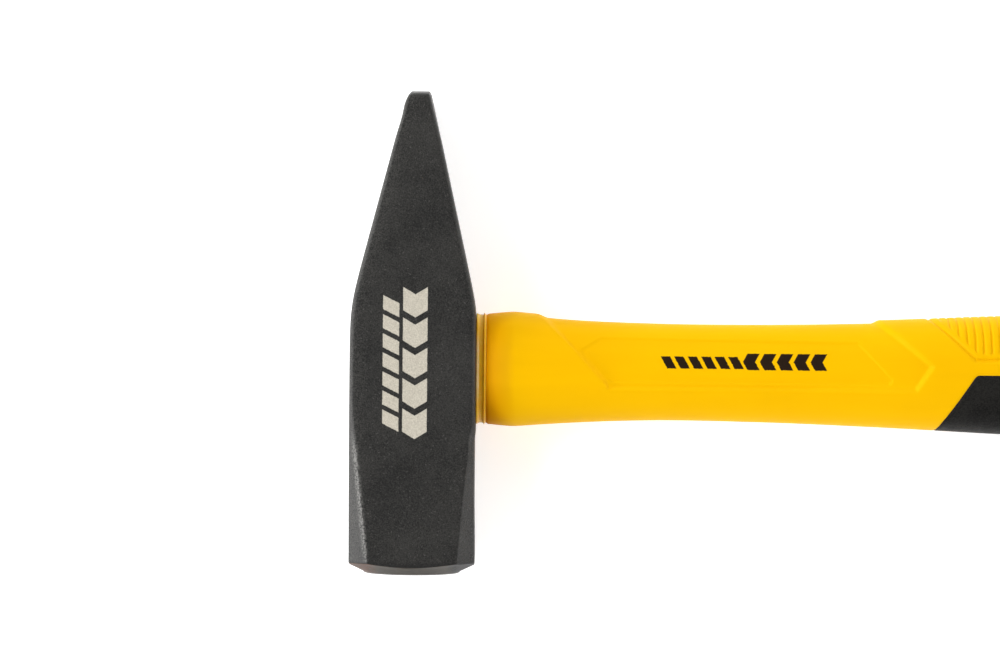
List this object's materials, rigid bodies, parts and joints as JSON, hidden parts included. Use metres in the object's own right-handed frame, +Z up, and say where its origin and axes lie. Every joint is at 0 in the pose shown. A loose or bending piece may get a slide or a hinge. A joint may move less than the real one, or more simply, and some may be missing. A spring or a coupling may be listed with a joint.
{
  "type": "cross-peen hammer",
  "caption": "Engineer's cross-peen hammer with a forged steel head and a long two-colour moulded handle with a soft grip.",
  "frame": {"origin": "where the handle's axis crosses the centre of the eye, dropped onto the cheek that the hammer lies on", "axes": "+X along the handle towards the butt, +Y towards the cross peen, +Z up, out of the upper cheek"},
  "size_m": [0.35, 0.13, 0.0338],
  "materials": {
    "forged_head": "satin charcoal paint over forged steel, ground striking bevel",
    "fibreglass": "pultruded glass fibre rod",
    "cured_resin": "cured casting resin",
    "amber_seal": "translucent amber moulding",
    "yellow_plastic": "satin moulded plastic",
    "black_grip": "matt soft overmould"
  },
  "bodies": {
    "root": {"head": "forged_head", "core_rod": "fibreglass", "eye_resin": "cured_resin", "eye_seal_collar": "amber_seal", "handle_jacket": "yellow_plastic", "grip": "black_grip"}
  },
  "joints": []
}
